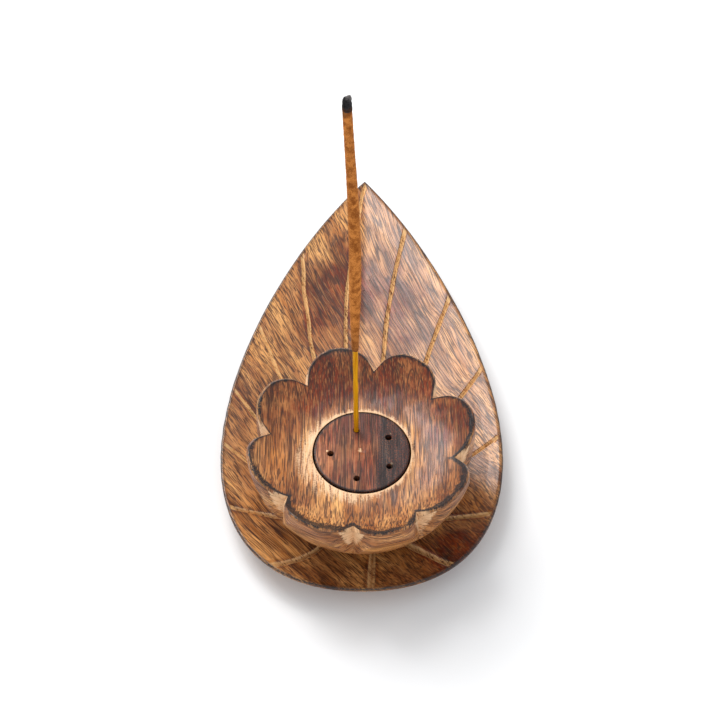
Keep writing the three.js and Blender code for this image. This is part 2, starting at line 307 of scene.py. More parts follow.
def settle(
    piece: bpy.types.Object, material: bpy.types.Material, body: Body, stands_for: str, slot: Slot
) -> bpy.types.Object:
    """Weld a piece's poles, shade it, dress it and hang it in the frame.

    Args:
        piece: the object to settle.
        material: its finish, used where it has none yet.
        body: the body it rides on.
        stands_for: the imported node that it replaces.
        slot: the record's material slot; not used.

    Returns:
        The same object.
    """
    weld(piece.data)
    piece.data.shade_smooth()
    piece.data.set_sharp_from_angle(angle=math.radians(SHARP_ANGLE))
    if not piece.data.materials:
        piece.data.materials.append(material)
    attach(piece, body.value)
    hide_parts(stands_for)
    return piece


# ---- Finishes --------------------------------------------------------------------------------
@dataclass(frozen=True)
class TorchedMango:
    """Mango wood, carved, scorched with a torch, brushed and waxed.

    The torch burns the soft early wood first, so brushing leaves dark wavy lines between golden ones.
    The open pores show as short dark dashes, and as dots where the grain meets the surface steeply.
    The wax gives a broad soft sheen.
    """

    name: str
    gold: str = "#E2A662"
    tan: str = "#C68A50"
    brown: str = "#9E622F"
    umber: str = "#77431E"
    amber: str = "#CC7E34"
    line: str = "#4E2A14"
    pore: str = "#3A1E10"
    # Scorch colour; on the tray it is also the colour of the painted shadow of the bowl.
    scorch_and_shadow_tint: str = "#945630"
    coal: str = "#120E10"
    fresh: str = "#E8BE92"
    band_mm: float = 5.0
    ring_mm: float = 3.0
    ring_length_mm: float = 40.0
    rings_in_swing: float = 2.5
    line_mm: float = 0.3
    line_length_mm: float = 24.0
    # A pore is about 0.15 mm wide. It is drawn 0.24 mm wide, so that it shows.
    pore_mm: float = 0.24
    pore_length_mm: float = 6.0
    line_strength: float = 0.8
    dash_strength: float = 0.45
    streak_mm: float = 1.5
    brush_mm: float = 0.6
    brush_length_mm: float = 7.0
    cloud_mm: float = 1 / 0.09
    speck_mm: float = 1 / 2.2
    relief_mm: float = 0.1
    roughness: float = 0.36
    wax: float = 0.35
    even_wax: bool = False

    def pattern(
        self, tree: bpy.types.NodeTree, width: float, length: float, detail: float, low: float, high: float
    ) -> bpy.types.NodeSocket:
        """Noise drawn out along the grain, eased from 0 at low to 1 at high.

        Args:
            tree: the material's node tree.
            width: size across the grain, in mm.
            length: size along the grain, in mm.
            detail: octaves of finer noise.
            low: noise that gives 0.
            high: noise that gives 1.

        Returns:
            The pattern, 0 to 1.
        """
        grain = node(tree, "Attribute", attribute_name="grain").outputs["Vector"]
        scale = (1 / width, 1 / length, 1 / width)
        place = node(tree, "VectorMath", {0: grain, 1: scale}, operation="MULTIPLY").outputs[0]
        noise = {"Vector": place, "Scale": 1.0, "Detail": detail, "Roughness": 0.6}
        eased = {"Value": node(tree, "TexNoise", noise).outputs["Fac"], 1: low, 2: high}
        return node(tree, "MapRange", eased, interpolation_type="SMOOTHSTEP").outputs[0]

    def dark_lines(self, tree: bpy.types.NodeTree) -> bpy.types.NodeSocket:
        """The burnt early wood: nested wavy rings, broken up, with loose dashes between them.

        Args:
            tree: the material's node tree.

        Returns:
            How strong the lines are, 0 to 1.
        """
        swing = self.pattern(tree, self.ring_mm, self.ring_length_mm, 1.0, 0.2, 0.8)
        wound = node(tree, "Math", {0: swing, 1: self.rings_in_swing * 2}, operation="MULTIPLY").outputs[0]
        folds = node(tree, "Math", {0: wound, 1: 1.0}, operation="PINGPONG").outputs[0]
        near_fold = {"Value": folds, 1: 0.02, 2: 0.36, 3: 1.0, 4: 0.0}
        rings = node(tree, "MapRange", near_fold, interpolation_type="SMOOTHSTEP").outputs[0]
        faint = self.pattern(tree, self.ring_mm * 0.5, self.line_length_mm * 0.4, 1.0, 0.3, 0.55)
        broken = node(tree, "Math", {0: rings, 1: faint}, operation="MULTIPLY").outputs[0]
        loose = self.pattern(tree, self.line_mm, self.line_length_mm, 1.0, 0.52, 0.6)
        dashes = node(tree, "Math", {0: loose, 1: self.dash_strength}, operation="MULTIPLY").outputs[0]
        return node(tree, "Math", {0: broken, 1: dashes}, operation="MAXIMUM").outputs[0]

    def shares(
        self, tree: bpy.types.NodeTree, lines: bpy.types.NodeSocket
    ) -> dict[str, bpy.types.NodeSocket]:
        """How much of each layer of colour shows, place by place.

        Args:
            tree: the material's node tree.
            lines: the dark lines.

        Returns:
            The shares by layer, 0 to 1.
        """
        read = {}
        for name in ("burn_and_shadow", "fresh", "char"):
            read[name] = node(tree, "Attribute", attribute_name=name).outputs["Fac"]
        grain = node(tree, "Attribute", attribute_name="grain").outputs["Vector"]
        cloud = {"Vector": grain, "Scale": 1 / self.cloud_mm, "Detail": 5.0, "Roughness": 0.62}
        cloud = node(tree, "TexNoise", cloud).outputs["Fac"]
        speck = {"Vector": grain, "Scale": 1 / self.speck_mm, "Detail": 3.0}
        speck = node(tree, "TexNoise", speck).outputs["Fac"]
        brush = self.pattern(tree, self.brush_mm, self.brush_length_mm, 2.0, 0.36, 0.64)

        drift = node(tree, "Math", {0: cloud, 1: 2.4, 2: -1.2}, operation="MULTIPLY_ADD").outputs[0]
        # The burn value darkens the wood towards the scorch colour; on the tray it also lays on a painted
        # shadow of the bowl.
        scorch_and_shadow = node(tree, "Math", {0: read["burn_and_shadow"], 1: drift}, operation="ADD", use_clamp=True).outputs[0]
        rubbed = node(tree, "Math", {0: speck, 1: 1.4, 2: -0.15}, operation="MULTIPLY_ADD").outputs[0]
        rubbed = node(tree, "Math", {0: brush, 1: 0.7, 2: rubbed}, operation="MULTIPLY_ADD").outputs[0]
        worn = node(tree, "Math", {0: read["fresh"], 1: rubbed}, operation="MULTIPLY").outputs[0]
        worn = {"Value": worn, 1: 0.25, 2: 0.75}
        worn = node(tree, "MapRange", worn, interpolation_type="SMOOTHSTEP").outputs[0]
        ragged = node(tree, "Math", {0: speck, 1: 2.2, 2: -1.1}, operation="MULTIPLY_ADD").outputs[0]
        ragged = node(tree, "Math", {0: 1.0, 1: ragged}, operation="ADD").outputs[0]
        black = {0: read["char"], 1: ragged}
        black = node(tree, "Math", black, operation="MULTIPLY", use_clamp=True).outputs[0]
        return {
            "streaks": self.pattern(tree, self.streak_mm, self.streak_mm * 16, 3.0, 0.46, 0.66),
            "warm": self.pattern(tree, self.band_mm * 1.6, self.band_mm * 6, 3.0, 0.48, 0.7),
            "scorch_and_shadow": scorch_and_shadow,
            "bright": self.pattern(tree, self.line_mm * 1.1, self.line_length_mm * 0.8, 1.0, 0.54, 0.61),
            "lines": lines,
            "pores": self.pattern(tree, self.pore_mm, self.pore_length_mm, 0.0, 0.545, 0.6),
            "worn": worn,
            "black": black,
        }

    def material(self) -> bpy.types.Material:
        """Build the material.

        It reads these values of the mesh: grain (across, along and into the wood, in mm), burn (0 to 1; on
        the tray it also holds a painted shadow of the bowl), fresh (1 where a cut shows raw wood), char (1
        where the edge is burnt black) and, unless the wax is even, polish (share of the wax that is on it).

        Returns:
            The new material.
        """
        material, tree = blank_material(self.name)
        lines = self.dark_lines(tree)
        share = self.shares(tree, lines)
        bands = self.pattern(tree, self.band_mm, self.band_mm * 12, 3.0, 0.22, 0.72)
        stops = [(0.0, self.umber), (0.3, self.brown), (0.62, self.tan), (1.0, self.gold)]
        body = node(tree, "ValToRGB", {"Fac": bands}, stops=stops).outputs["Color"]
        raw = node(tree, "Math", {0: lines, 1: 0.3}, operation="MULTIPLY").outputs[0]
        raw = node(tree, "Mix", {"Factor": raw, 6: self.fresh, 7: self.brown}, data_type="RGBA").outputs[2]
        layers = (
            ("streaks", 0.4, self.brown, "MULTIPLY"),
            ("warm", 0.45, self.amber, "MIX"),
            # Scorch, and on the tray a painted shadow of the bowl.
            ("scorch_and_shadow", 1.0, self.scorch_and_shadow_tint, "MULTIPLY"),
            ("bright", 0.2, self.gold, "MIX"),
            ("lines", self.line_strength, self.line, "MULTIPLY"),
            ("pores", 0.78, self.pore, "MIX"),
            ("worn", 0.9, raw, "MIX"),
            ("black", 1.0, self.coal, "MIX"),
        )
        for name, strength, colour, blend in layers:
            factor = node(tree, "Math", {0: share[name], 1: strength}, operation="MULTIPLY").outputs[0]
            laid = {"Factor": factor, 6: body, 7: colour}
            body = node(tree, "Mix", laid, data_type="RGBA", blend_type=blend).outputs[2]

        hollows = {0: lines, 1: 0.5, 2: share["pores"]}
        hollows = node(tree, "Math", hollows, operation="MULTIPLY_ADD").outputs[0]
        sunk = node(tree, "Math", {0: hollows, 1: -1.0}, operation="MULTIPLY").outputs[0]
        relief = node(tree, "Bump", {"Height": sunk, "Strength": 0.6, "Distance": self.relief_mm * MM})
        gloss = {0: hollows, 1: 0.12, 2: self.roughness}
        gloss = node(tree, "Math", gloss, operation="MULTIPLY_ADD").outputs[0]
        fresh = node(tree, "Attribute", attribute_name="fresh").outputs["Fac"]
        gloss = node(tree, "Math", {0: fresh, 1: 0.15, 2: gloss}, operation="MULTIPLY_ADD").outputs[0]
        coat: Input = self.wax
        if not self.even_wax:
            polish = node(tree, "Attribute", attribute_name="polish").outputs["Fac"]
            coat = node(tree, "Math", {0: polish, 1: self.wax}, operation="MULTIPLY").outputs[0]
        shader = {
            "Base Color": body,
            "Roughness": gloss,
            "Normal": relief.outputs[0],
            "IOR": 1.5,
            "Specular IOR Level": 0.3,
            "Coat Weight": coat,
            "Coat Roughness": 0.26,
            "Coat IOR": 1.45,
        }
        finish_material(tree, shader)
        return material


@dataclass(frozen=True)
class DryFinish:
    """A dry, grainy surface such as incense paste, char or ash.

    Two colours mix in grains and in larger patches, and fine relief breaks up the light, so that it
    looks matt and sandy. The mesh's stain value, 0 to 1, turns it towards the stain's colour.
    """

    name: str
    light: str
    dark: str
    stain: str
    # Ground wood and charcoal are about 0.1 mm across. They are drawn coarser, so that they show.
    grit_mm: float
    patch_share: float = 0.12
    roughness: float = 0.95
    relief_mm: float = 0.08
    fuzz: float = 0.0

    def material(self) -> bpy.types.Material:
        """Build the material.

        Returns:
            The new material.
        """
        material, tree = blank_material(self.name)
        place = node(tree, "TexCoord").outputs["Object"]
        grains = {"Vector": place, "Scale": 1 / (self.grit_mm * MM), "Detail": 4.0}
        grit = node(tree, "TexNoise", grains).outputs[0]
        patches = {"Vector": place, "Scale": self.patch_share / (self.grit_mm * MM), "Detail": 3.0}
        patch = node(tree, "TexNoise", patches).outputs[0]
        both = node(tree, "Math", {0: grit, 1: patch}, operation="ADD").outputs[0]
        share = node(tree, "MapRange", {"Value": both, 1: 0.84, 2: 1.16}).outputs[0]
        mixed = {"Factor": share, 6: self.dark, 7: self.light}
        plain = node(tree, "Mix", mixed, data_type="RGBA").outputs[2]
        stain = node(tree, "Attribute", attribute_name="stain").outputs["Fac"]
        shade = node(tree, "Mix", {"Factor": stain, 6: plain, 7: self.stain}, data_type="RGBA").outputs[2]
        bump = {"Height": grit, "Strength": 0.7, "Distance": self.relief_mm * MM}
        relief = node(tree, "Bump", bump).outputs[0]
        shader = {"Base Color": shade, "Roughness": self.roughness, "Normal": relief, "IOR": 1.45}
        shader |= {"Specular IOR Level": 0.25, "Sheen Weight": self.fuzz, "Sheen Tint": self.light}
        finish_material(tree, shader)
        return material


@dataclass(frozen=True)
class DyedBamboo:
    """Bamboo split into a round splint and dyed yellow.

    The hard fibres run the whole length as fine lighter and darker lines, and the smooth skin gives a
    narrow highlight along one side. The stain value turns it brown.
    """

    name: str = "bamboo_split_dyed_yellow"
    light: str = "#F2B20E"
    dark: str = "#BC7A00"
    stain: str = "#A05A04"
    # A fibre bundle is about 0.1 mm wide. It is drawn 0.16 mm wide, so that it shows.
    fibre_mm: float = 0.16
    fibre_length_mm: float = 14.0
    roughness: float = 0.24

    def material(self) -> bpy.types.Material:
        """Build the material.

        Returns:
            The new material.
        """
        material, tree = blank_material(self.name)
        place = node(tree, "TexCoord").outputs["Object"]
        scale = tuple(1 / (size * MM) for size in (self.fibre_mm, self.fibre_mm, self.fibre_length_mm))
        drawn = node(tree, "VectorMath", {0: place, 1: scale}, operation="MULTIPLY").outputs[0]
        fibre = node(tree, "TexNoise", {"Vector": drawn, "Scale": 1.0, "Detail": 2.0}).outputs[0]
        share = node(tree, "MapRange", {"Value": fibre, 1: 0.35, 2: 0.65}).outputs[0]
        mixed = {"Factor": share, 6: self.dark, 7: self.light}
        plain = node(tree, "Mix", mixed, data_type="RGBA").outputs[2]
        stain = node(tree, "Attribute", attribute_name="stain").outputs["Fac"]
        shade = node(tree, "Mix", {"Factor": stain, 6: plain, 7: self.stain}, data_type="RGBA").outputs[2]
        relief = node(tree, "Bump", {"Height": fibre, "Strength": 0.4, "Distance": 0.02 * MM}).outputs[0]
        shader = {"Base Color": shade, "Roughness": self.roughness, "Normal": relief, "IOR": 1.5}
        finish_material(tree, shader)
        return material


@dataclass(frozen=True)
class PlatedSteel:
    """Steel screw, rolled and zinc plated.

    The plating is bright with a slightly blue cloud in it, and small pits and rubbed places change how
    sharply it mirrors its surroundings.
    """

    name: str = "steel_screw_rolled_zinc_plated"
    light: str = "#C9CCD0"
    dark: str = "#9A9EA6"
    cloud_mm: float = 1.4
    # A pit is about 0.05 mm wide. It is drawn 0.2 mm wide, so that it shows.
    pit_mm: float = 0.2

    def material(self) -> bpy.types.Material:
        """Build the material.

        Returns:
            The new material.
        """
        material, tree = blank_material(self.name)
        place = node(tree, "TexCoord").outputs["Object"]
        clouds = {"Vector": place, "Scale": 1 / (self.cloud_mm * MM), "Detail": 3.0}
        cloud = node(tree, "TexNoise", clouds).outputs[0]
        small = {"Vector": place, "Scale": 1 / (self.pit_mm * MM), "Detail": 2.0}
        pits = node(tree, "TexNoise", small).outputs[0]
        mixed = {"Factor": cloud, 6: self.dark, 7: self.light}
        shade = node(tree, "Mix", mixed, data_type="RGBA").outputs[2]
        gloss = node(tree, "MapRange", {"Value": pits, 1: 0.35, 2: 0.7, 3: 0.24, 4: 0.42}).outputs[0]
        relief = node(tree, "Bump", {"Height": pits, "Strength": 0.3, "Distance": 0.02 * MM}).outputs[0]
        finish_material(tree, {"Base Color": shade, "Metallic": 1.0, "Roughness": gloss, "Normal": relief})
        return material


# ---- Leaf tray -------------------------------------------------------------------------------
@dataclass(frozen=True)
class Vein:
    """A carved vein: its directions at the bowl and at the rim in degrees, its bow and its width."""

    start: float
    end: float
    bow: float
    width: float


VEINS = (
    Vein(98, 89.5, 4.4, 1.4),
    Vein(64, 82, 3.3, 1.5),
    Vein(45, 69, 1.4, 1.5),
    Vein(38, 50, 0, 1.6),
    Vein(12, 24, 0, 1.6),
    Vein(-29, -13.5, 0, 2.0),
    Vein(-56, -46, 0, 2.4),
    Vein(-78, -86, 0, 2.4),
    Vein(-123, -134, 2, 2.2),
    Vein(-147, -170, 0, 1.8),
    Vein(-174, -201, 0, 1.5),
    Vein(-200, -222.5, 0, 1.4),
    Vein(-220, -242, 0, 1.4),
    Vein(-247, -258, 2.4, 1.5),
)


# Each patch the torch lingered on, and one of painted shadow where the bowl shades the tray at the front
# right: its place across and along the leaf, its two reaches and its burn.
SCORCH_AND_SHADOW_PATCHES = (
    (-6, 74, 11, 18, 0.85),
    (-15, 52, 7, 14, 0.4),
    (12, 68, 9, 16, 0.9),
    (-34, 30, 10, 14, 0.4),
    (-8, -30, 34, 10, 0.05),
    # Painted shadow of the bowl on the tray, at its front right.
    (29, -23, 13, 13, 1.3),
    (4, 96, 12, 14, 0.35),
)

# The rounded edge from the top of the rim outwards: inset, drop and how black it is.
RIM_STEPS = ((0.6, 0.0, 0.3), (0.3, 0.04, 0.75), (0.1, 0.15, 0.9), (0.0, 0.35, 0.75))


@dataclass
class LeafTray:
    """The leaf-shaped tray: a dished top, carved veins, a thin rim and an undercut underside."""

    length: float
    setback: float
    width: float = 84.8
    widest: float = 47.5
    tip_half_angle: float = 40.5
    tip_shift: float = 1.0
    rim_height: float = 10.0
    rim_land: float = 1.0
    rim_side: float = 1.1
    floor: float = 4.7
    front_arm: float = 0.75
    side_arm_front: float = 0.51
    side_arm_back: float = 0.347
    tip_arm: float = 0.287
    dish_curve: float = 1.8
    underside_curve: float = 1.3
    groove_depth: float = 0.62
    flat_reach: float = 0.4
    foot_reach: float = 0.6
    vein_start: float = 16.0
    hole_radius: float = 2.05
    sink_radius: float = 3.8
    rings: int = 110
    spacing: float = 0.8

    def outline(self, inset: float = 0.0) -> Array:
        """Points round the edge, anticlockwise from the front, measured from the bowl's axis.

        Args:
            inset: how far inside the edge.

        Returns:
            An array of x and y.
        """
        front = -self.setback
        wide = front + self.widest
        tip = front + self.length
        lean = math.radians(self.tip_half_angle)
        handle = (tip - wide) * self.tip_arm
        t = np.linspace(0, 1, 500)[:, None]
        weights = ((1 - t) ** 3, 3 * (1 - t) ** 2 * t, 3 * (1 - t) * t**2, t**3)
        sides = []
        for side in (1, -1):
            half = side * self.width / 2
            low = [
                (0, front),
                (half * self.front_arm, front),
                (half, wide - self.widest * self.side_arm_front),
                (half, wide),
            ]
            high = [
                (half, wide),
                (half, wide + (tip - wide) * self.side_arm_back),
                (side * handle * math.sin(lean), tip - handle * math.cos(lean)),
                (self.tip_shift, tip),
            ]
            curve = [sum(w * np.array(point) for w, point in zip(weights, points)) for points in (low, high)]
            sides.append(np.vstack([curve[0], curve[1][1:]]))
        edge = np.vstack([sides[0], sides[1][1:-1][::-1]])
        before = edge - np.roll(edge, 1, axis=0)
        after = np.roll(edge, -1, axis=0) - edge
        before /= np.linalg.norm(before, axis=1, keepdims=True)
        after /= np.linalg.norm(after, axis=1, keepdims=True)
        inward = np.stack([-before[:, 1] - after[:, 1], before[:, 0] + after[:, 0]], 1)
        return edge + inward * inset / (1 + (before * after).sum(1, keepdims=True))

    def edge_radius(self, angle: Array, inset: float = 0.0) -> Array:
        """Distance from the bowl's axis to the edge in each direction.

        Args:
            angle: directions in radians.
            inset: how far inside the edge.

        Returns:
            One distance for each direction.
        """
        edge = self.outline(inset)
        turn = np.unwrap(np.arctan2(edge[:, 1], edge[:, 0]))
        reach = np.hypot(edge[:, 0], edge[:, 1])
        turns = np.concatenate([turn - TURN, turn, turn + TURN])
        return np.interp(angle, turns, np.tile(reach, 3))

    def dish(self, reach: Array) -> Array:
        """Height of the top at a reach of 0, the bowl's axis, to 1, the edge."""
        climb = np.clip((reach - self.flat_reach) / (1 - self.flat_reach), 0, None)
        return self.floor + (self.rim_height - self.floor) * climb**self.dish_curve

    def vein_line(self, vein: Vein, shares: Array) -> tuple[Array, Array]:
        """Direction of a vein and half its width as an angle, at each share of the way out.

        Args:
            vein: the vein.
            shares: shares of the way from the hole to the rim.

        Returns:
            Directions and half-widths, both in radians.
        """
        first = math.radians(vein.start)
        start = self.vein_start * np.array([math.cos(first), math.sin(first)])
        way = math.radians(vein.end)
        reach = float(self.edge_radius(np.array(way), self.rim_land))
        end = reach * np.array([math.cos(way), math.sin(way)])
        along = end - start
        left = np.array([-along[1], along[0]]) / np.linalg.norm(along)
        middle = (start + end) / 2 + left * 2 * vein.bow
        t = np.linspace(0, 1, 400)[:, None]
        line = (1 - t) ** 2 * start + 2 * (1 - t) * t * middle + t**2 * end
        wobble = Ripple(13.0, seed=int(abs(vein.end) * 10)).at(line[:, 0], line[:, 1])[:, None]
        line = line + left * wobble * 0.12
        angle = np.unwrap(np.arctan2(line[:, 1], line[:, 0]))
        angle += TURN * round((way - angle[-1]) / TURN)
        whole = self.edge_radius(angle, self.rim_land) - self.hole_radius
        share = (np.hypot(line[:, 0], line[:, 1]) - self.hole_radius) / whole
        here = np.interp(shares, share, angle)
        slope = np.gradient(here, shares)
        radius = self.hole_radius + shares * (self.edge_radius(here, self.rim_land) - self.hole_radius)
        step = 1e-3
        beyond = self.edge_radius(here + step, self.rim_land)
        swell = (beyond - self.edge_radius(here - step, self.rim_land)) / (2 * step)
        ring_way = np.stack([shares * swell, radius], 1)
        vein_way = np.stack([np.gradient(radius, shares), radius * slope], 1)
        cross = np.abs(ring_way[:, 0] * vein_way[:, 1] - ring_way[:, 1] * vein_way[:, 0])
        sine = cross / (np.linalg.norm(ring_way, axis=1) * np.linalg.norm(vein_way, axis=1))
        fresh_start = np.clip(shares / share[0], 0.05, 1)
        half = vein.width / 2 * fresh_start * (1 + 0.08 * Ripple(9.0, seed=5).at(radius, here * 20))
        return here, half / (np.clip(sine, 0.3, 1) * np.linalg.norm(ring_way, axis=1))

    def columns(self, shares: Array) -> tuple[Array, Array, Array]:
        """Lay out the columns of the grid so that they follow the veins.

        Args:
            shares: shares of the way from the hole to the rim, one for each ring.

        Returns:
            Directions by ring and column, how far each column lies from its vein's middle (1 is the
            groove's edge), and the width of that vein.
        """
        order = sorted(VEINS, key=lambda vein: vein.end)
        lines = [self.vein_line(vein, shares) for vein in order]
        across = (-1.0, -0.66, -0.33, 0.0, 0.33, 0.66, 1.0)
        angles, ratio, width = [], [], []
        for i, vein in enumerate(order):
            here, half = lines[i]
            for step in across:
                angles.append(here + step * half)
                ratio.append(abs(step))
                width.append(vein.width)
            ahead = (i + 1) % len(order)
            next_here, next_half = lines[ahead]
            start = here + half
            stop = next_here - next_half + (TURN if ahead == 0 else 0)
            gap = (stop[-1] - start[-1]) * float(self.edge_radius(np.array((stop[-1] + start[-1]) / 2)))
            count = max(6, round(gap / self.spacing))
            for step in range(1, count):
                share = step / count
                share = share * 0.8 + 0.2 * (0.5 - 0.5 * math.cos(math.pi * share))
                angles.append(start + (stop - start) * share)
                ratio.append(1 + 3 * min(step, count - step) / count)
                width.append(vein.width if step < count / 2 else order[ahead].width)
        return np.stack(angles, 1), np.array(ratio), np.array(width)

    def grain(self, x: Array, y: Array, z: Array) -> Array:
        """Wood coordinates: across, along and into the wood, the grain running down to the right.

        Args:
            x: across the leaf.
            y: along the leaf.
            z: height.

        Returns:
            Three numbers for each point.
        """
        wave = 0.4 * Ripple(18.0, seed=91, waves=18).at(x, y)
        wave = wave + 0.06 * Ripple(6.0, seed=92, waves=18).at(x, y)
        across = 0.82 * (x + 0.8 * y - 0.0025 * y * y) + 0.25 * z + wave
        along = 0.45 * x - 0.82 * y
        return np.stack([across, along, z * 0.4 + 0.02 * x], -1)

    def burn_and_shadow(self, x: Array, y: Array) -> Array:
        """How hard the torch has burnt each place, 0 to 1, with a painted shadow of the bowl at the front
        right.

        Args:
            x: across the leaf.
            y: along the leaf.

        Returns:
            The burn, with the painted shadow.
        """
        total = np.full(x.shape, 0.05)
        for px, py, rx, ry, amount in SCORCH_AND_SHADOW_PATCHES:
            total += amount * np.exp(-(((x - px) / rx) ** 2) - ((y - py) / ry) ** 2)
        return total

    def skin(self, axis: Vector) -> Skin:
        """Make the tray's surface.

        Args:
            axis: the foot of the bowl's axis, in mm.

        Returns:
            The surface, from the screw hole out over the top, round the rim and back underneath.
        """
        shares = np.concatenate([np.linspace(0, 0.34, 10, endpoint=False), np.linspace(0.34, 1, self.rings)])
        angles, ratio, vein_width = self.columns(shares)
        inner = self.edge_radius(angles, self.rim_land)
        radius = self.hole_radius + shares[:, None] * (inner - self.hole_radius)
        reach = radius / self.edge_radius(angles)
        height = self.dish(reach)
        started = smooth_step(self.vein_start - 3, self.vein_start + 3, radius)
        run_out = np.clip((1 - shares[:, None]) * inner / 2.2, 0, 1) ** 0.7
        groove = np.clip(1 - ratio, 0, 1)[None, :] * vein_width[None, :] * self.groove_depth
        depth = groove * started * (0.12 + 0.88 * run_out)
        x = radius * np.cos(angles)
        y = radius * np.sin(angles)
        hand = Ripple(17.0, seed=11).at(x, y) * 0.1 + Ripple(6.0, seed=12).at(x, y) * 0.025
        height = height - depth + hand * started * smooth_step(0, 4, inner - radius)
        fresh = smooth_step(1.02, 0.8, ratio)[None, :] * started * np.ones_like(radius)
        singed = 0.5 * np.exp(-(((ratio - 1.06) / 0.1) ** 2))[None, :] * started
        rings = [np.stack([x, y, height], -1)]
        fresh_rings, char_rings = [fresh * 0.8], [smooth_step(0.6, 0.0, inner - radius) * 0.12]

        last = angles[-1]

        def ring(spot: Array, level: float, raw: float, black: float) -> None:
            """Add one ring below the rim.

            Args:
                spot: its radius in each direction.
                level: its height.
                raw: how much raw wood shows.
                black: how black it is.
            """
            rings.append(np.dstack([spot * np.cos(last), spot * np.sin(last), np.full(spot.shape, level)]))
            fresh_rings.append(np.full((1, spot.size), raw))
            char_rings.append(np.full((1, spot.size), black))

        top = self.rim_height
        worn = 0.05 * Ripple(5.0, seed=21).at(np.cos(last) * 40, np.sin(last) * 60)
        for inset, drop, black in RIM_STEPS:
            ring(self.edge_radius(last, inset) - worn, top - drop, 0.0, black)
        side_foot = top - self.rim_side
        for share in np.linspace(1, 0, 14):
            reach_here = self.foot_reach + (1 - self.foot_reach) * share
            level = side_foot * share**self.underside_curve
            ring(self.edge_radius(last) * reach_here, level, 0.12, 0.25 * share**3)
        for share in np.linspace(0.85, 0, 6):
            spot = self.sink_radius + (self.edge_radius(last) * self.foot_reach - self.sink_radius) * share
            ring(spot, 0.0, 0.12, 0.0)
        for spot, level in ((self.sink_radius, 0.9), (self.hole_radius, 3.1), (self.hole_radius, 3.9)):
            ring(np.full(last.shape, spot), level, 0.7, 0.0)

        points = np.concatenate(rings)
        x, y, z = points[..., 0], points[..., 1], points[..., 2]
        below = np.zeros((len(points) - len(singed), ratio.size))
        on_rim = np.where(z > self.rim_height - self.rim_side - 0.5, 1.0, 0.3)
        values = {
            "grain": self.grain(x, y, z),
            "burn_and_shadow": self.burn_and_shadow(x, y) + np.vstack([singed, below]),
            "fresh": np.concatenate(fresh_rings),
            "char": np.concatenate(char_rings),
            "polish": on_rim + 0.7 * (np.arange(len(points)) < len(shares))[:, None],
        }
        return Skin("tray_leaf_shell", points + np.array([axis.x, axis.y, 0.0]), values, wrap=True)

    def build(self, axis: Vector) -> bpy.types.Object:
        """Carve the tray round the foot of the bowl's axis, given in mm, and dress it."""
        # Hand carved, so the grooves show paler raw wood; torched, so the ground is streaked brown.
        wood = TorchedMango("mango_wood_carved_torched_waxed", fresh="#DFB47C")
        return self.skin(axis).build(wood.material(), Body.BURNER, "leaf_tray", Slot.TRAY)


# ---- Lotus bowl ------------------------------------------------------------------------------
class Zone(Enum):
    """The parts of the bowl's surface, from the middle of its recess round to its foot."""

    RECESS = 0
    HOLLOW = 1
    BEVEL = 2
    CUT = 3
    WALL = 4
    FOOT = 5


